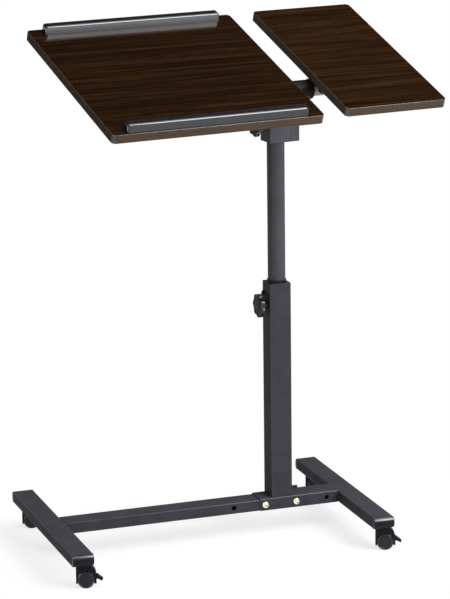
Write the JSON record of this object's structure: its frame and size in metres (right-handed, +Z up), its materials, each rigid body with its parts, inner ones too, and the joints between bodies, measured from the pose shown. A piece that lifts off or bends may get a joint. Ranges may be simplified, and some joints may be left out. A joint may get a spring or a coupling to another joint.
{
  "type": "laptop table",
  "caption": "Rolling laptop table: tilting wood-look main panel with stop rails and a side panel on a telescopic post over an H-shaped tube base.",
  "frame": {"origin": "on the floor, under the middle of the bounding box in the pose shown", "axes": "+Z up, +X towards the side panel along the crossbar, +Y away from the user"},
  "size_m": [0.7346, 0.4676, 0.9312],
  "materials": {
    "powder_coat": "satin anthracite powder coat on steel",
    "walnut_board": "dark wood-grain laminated particle board",
    "black_plastic": "moulded black plastic",
    "graphite_plastic": "glossy graphite plastic",
    "yellow_zinc": "yellow zinc-plated steel",
    "bright_zinc": "bright zinc-plated steel",
    "grey_steel": "grey coated steel tube",
    "friction_disc": "dull friction disc"
  },
  "bodies": {
    "base": {"left_foot": "powder_coat", "left_front_cap": "black_plastic", "left_rear_cap": "black_plastic", "left_front_caster_stem": "bright_zinc", "left_rear_caster_stem": "bright_zinc", "right_foot": "powder_coat", "right_front_cap": "black_plastic", "right_rear_cap": "black_plastic", "right_front_caster_stem": "bright_zinc", "right_rear_caster_stem": "bright_zinc", "crossbar_sleeve": "powder_coat", "crossbar_inner": "powder_coat", "crossbar_bolt_1": "yellow_zinc", "crossbar_nut_1": "yellow_zinc", "crossbar_bolt_2": "yellow_zinc", "crossbar_nut_2": "yellow_zinc", "lower_post": "powder_coat", "post_weld_tab": "powder_coat", "guide_bush": "black_plastic", "bush_rivet": "black_plastic", "height_nut": "powder_coat"},
    "height_clamp": {"height_knob": "black_plastic", "height_stud": "bright_zinc"},
    "slide": {"post_glide": "black_plastic"},
    "mast": {"upper_post": "powder_coat", "head_cup": "powder_coat", "nut_block": "powder_coat", "tilt_nut": "bright_zinc"},
    "tilt_clamp": {"tilt_knob": "black_plastic", "tilt_bolt": "bright_zinc"},
    "top": {"tilt_tongue": "powder_coat", "left_friction_disc": "friction_disc", "right_friction_disc": "friction_disc", "panel_plate": "powder_coat", "main_panel": "walnut_board", "front_rail": "graphite_plastic", "rear_rail": "graphite_plastic", "side_socket": "black_plastic"},
    "side_wing": {"side_tube": "grey_steel", "side_saddle_1": "black_plastic", "side_saddle_2": "black_plastic", "side_panel": "walnut_board"},
    "left_front_caster": {"left_front_caster_hood": "black_plastic", "left_front_caster_axle": "bright_zinc"},
    "left_front_outer_wheel": {"left_front_caster_outer_wheel": "black_plastic"},
    "left_front_inner_wheel": {"left_front_caster_inner_wheel": "black_plastic"},
    "left_front_brake": {"left_front_caster_brake": "black_plastic"},
    "left_rear_caster": {"left_rear_caster_hood": "black_plastic", "left_rear_caster_axle": "bright_zinc"},
    "left_rear_outer_wheel": {"left_rear_caster_outer_wheel": "black_plastic"},
    "left_rear_inner_wheel": {"left_rear_caster_inner_wheel": "black_plastic"},
    "right_front_caster": {"right_front_caster_hood": "black_plastic", "right_front_caster_axle": "bright_zinc"},
    "right_front_outer_wheel": {"right_front_caster_outer_wheel": "black_plastic"},
    "right_front_inner_wheel": {"right_front_caster_inner_wheel": "black_plastic"},
    "right_front_brake": {"right_front_caster_brake": "black_plastic"},
    "right_rear_caster": {"right_rear_caster_hood": "black_plastic", "right_rear_caster_axle": "bright_zinc"},
    "right_rear_outer_wheel": {"right_rear_caster_outer_wheel": "black_plastic"},
    "right_rear_inner_wheel": {"right_rear_caster_inner_wheel": "black_plastic"}
  },
  "joints": [
    {"name": "height_clamp_turn", "type": "hinge", "parent": "base", "child": "height_clamp", "pos_m": [0.08269, -0.0338, 0.4257], "axis": [1, 0, 0], "range_deg": [-180, 0]},
    {"name": "post_height", "type": "slide", "parent": "base", "child": "slide", "axis": [0, 0, 1], "range_m": [-0.245, 0.009]},
    {"name": "post_swivel", "type": "hinge", "parent": "slide", "child": "mast", "pos_m": [0.08269, -0.0338, 0.5], "axis": [0, 0, 1], "continuous": true},
    {"name": "tilt_clamp_turn", "type": "hinge", "parent": "mast", "child": "tilt_clamp", "pos_m": [0.08269, -0.0338, 0.7564], "axis": [0.9938, 0.1115, 0], "range_deg": [-180, 0]},
    {"name": "top_tilt", "type": "hinge", "parent": "mast", "child": "top", "pos_m": [0.08269, -0.0338, 0.7564], "axis": [0.9938, 0.1115, 0], "range_deg": [-18.8, 16]},
    {"name": "side_panel_tilt", "type": "hinge", "parent": "top", "child": "side_wing", "pos_m": [0.08077, -0.01665, 0.80812], "axis": [0.9938, 0.1115, 0], "range_deg": [-35, 18]},
    {"name": "left_front_caster_swivel", "type": "hinge", "parent": "base", "child": "left_front_caster", "pos_m": [-0.34831, -0.2086, 0.04], "axis": [0, 0, 1], "continuous": true},
    {"name": "left_front_outer_wheel_spin", "type": "hinge", "parent": "left_front_caster", "child": "left_front_outer_wheel", "pos_m": [-0.33875, -0.21152, 0.01511], "axis": [0.2924, 0.9563, 0], "continuous": true},
    {"name": "left_front_inner_wheel_spin", "type": "hinge", "parent": "left_front_caster", "child": "left_front_inner_wheel", "pos_m": [-0.33875, -0.21152, 0.01511], "axis": [0.2924, 0.9563, 0], "continuous": true},
    {"name": "left_front_brake_press", "type": "hinge", "parent": "left_front_caster", "child": "left_front_brake", "pos_m": [-0.32, -0.21725, 0.02061], "axis": [0.2924, 0.9563, 0], "range_deg": [0, 12]},
    {"name": "left_rear_caster_swivel", "type": "hinge", "parent": "base", "child": "left_rear_caster", "pos_m": [-0.34831, 0.141, 0.04], "axis": [0, 0, 1], "continuous": true},
    {"name": "left_rear_outer_wheel_spin", "type": "hinge", "parent": "left_rear_caster", "child": "left_rear_outer_wheel", "pos_m": [-0.33875, 0.13808, 0.01511], "axis": [0.2924, 0.9563, 0], "continuous": true},
    {"name": "left_rear_inner_wheel_spin", "type": "hinge", "parent": "left_rear_caster", "child": "left_rear_inner_wheel", "pos_m": [-0.33875, 0.13808, 0.01511], "axis": [0.2924, 0.9563, 0], "continuous": true},
    {"name": "right_front_caster_swivel", "type": "hinge", "parent": "base", "child": "right_front_caster", "pos_m": [0.21069, -0.2086, 0.04], "axis": [0, 0, 1], "continuous": true},
    {"name": "right_front_outer_wheel_spin", "type": "hinge", "parent": "right_front_caster", "child": "right_front_outer_wheel", "pos_m": [0.22025, -0.21152, 0.01511], "axis": [0.2924, 0.9563, 0], "continuous": true},
    {"name": "right_front_inner_wheel_spin", "type": "hinge", "parent": "right_front_caster", "child": "right_front_inner_wheel", "pos_m": [0.22025, -0.21152, 0.01511], "axis": [0.2924, 0.9563, 0], "continuous": true},
    {"name": "right_front_brake_press", "type": "hinge", "parent": "right_front_caster", "child": "right_front_brake", "pos_m": [0.239, -0.21725, 0.02061], "axis": [0.2924, 0.9563, 0], "range_deg": [0, 12]},
    {"name": "right_rear_caster_swivel", "type": "hinge", "parent": "base", "child": "right_rear_caster", "pos_m": [0.21069, 0.141, 0.04], "axis": [0, 0, 1], "continuous": true},
    {"name": "right_rear_outer_wheel_spin", "type": "hinge", "parent": "right_rear_caster", "child": "right_rear_outer_wheel", "pos_m": [0.22025, 0.13808, 0.01511], "axis": [0.2924, 0.9563, 0], "continuous": true},
    {"name": "right_rear_inner_wheel_spin", "type": "hinge", "parent": "right_rear_caster", "child": "right_rear_inner_wheel", "pos_m": [0.22025, 0.13808, 0.01511], "axis": [0.2924, 0.9563, 0], "continuous": true}
  ]
}
